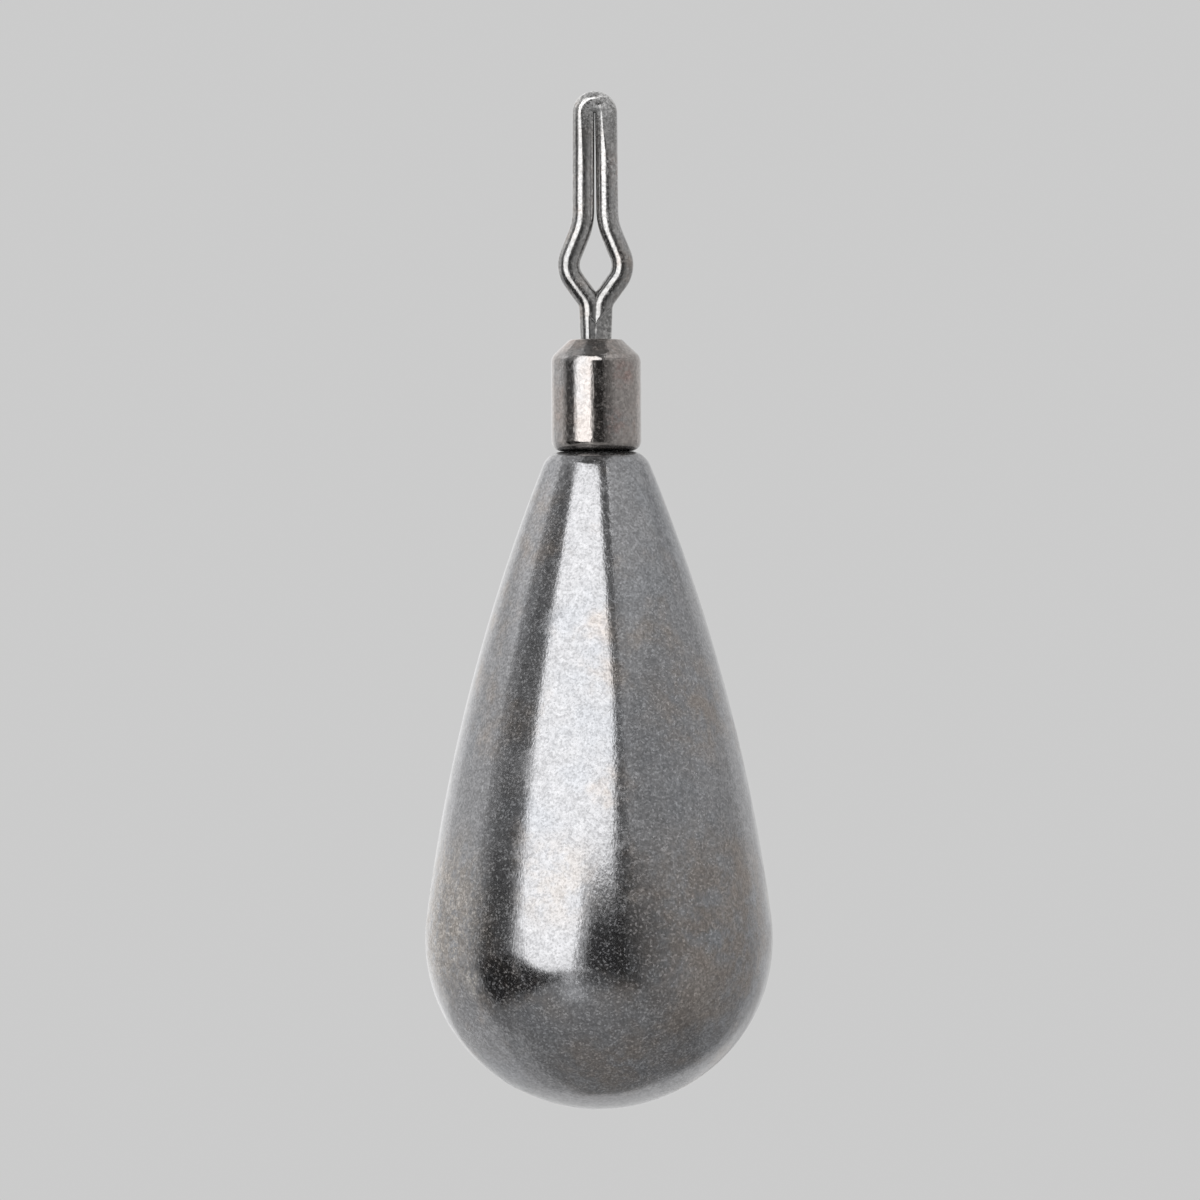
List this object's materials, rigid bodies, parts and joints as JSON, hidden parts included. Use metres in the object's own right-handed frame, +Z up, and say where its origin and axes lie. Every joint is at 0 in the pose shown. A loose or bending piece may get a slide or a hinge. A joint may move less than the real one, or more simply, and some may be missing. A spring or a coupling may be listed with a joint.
{
  "type": "swivel sinker",
  "caption": "Teardrop fishing weight that turns under a small barrel swivel, hung from a bent spring-wire clip with an eye and a slot that pinches the line.",
  "frame": {"origin": "middle of the line eye in the wire clip, on the swivel axis, where the line passes through", "axes": "+Z up along the swivel axis from the weight to the clip, +Y through the eye along the line, +X across the clip's two legs"},
  "size_m": [0.0098, 0.0098, 0.0288],
  "materials": {
    "clip_wire": "bright stainless spring wire, lightly tarnished",
    "barrel_metal": "nickel-plated brass, smooth with fine speckle",
    "adhesive": "cured epoxy, translucent amber grey",
    "tungsten": "sintered and tumbled tungsten alloy, satin with fine grain"
  },
  "bodies": {
    "clip": {"line_clip": "clip_wire"},
    "barrel": {"swivel_barrel": "barrel_metal"},
    "sinker": {"anchor_eye": "clip_wire", "bond_plug": "adhesive", "sinker_body": "tungsten"}
  },
  "joints": [
    {"name": "clip_swivel", "type": "hinge", "parent": "clip", "child": "barrel", "pos_m": [0, 0, -0.0021], "axis": [0, 0, 1], "continuous": true},
    {"name": "weight_swivel", "type": "hinge", "parent": "barrel", "child": "sinker", "pos_m": [0, 0, -0.005], "axis": [0, 0, 1], "continuous": true}
  ]
}
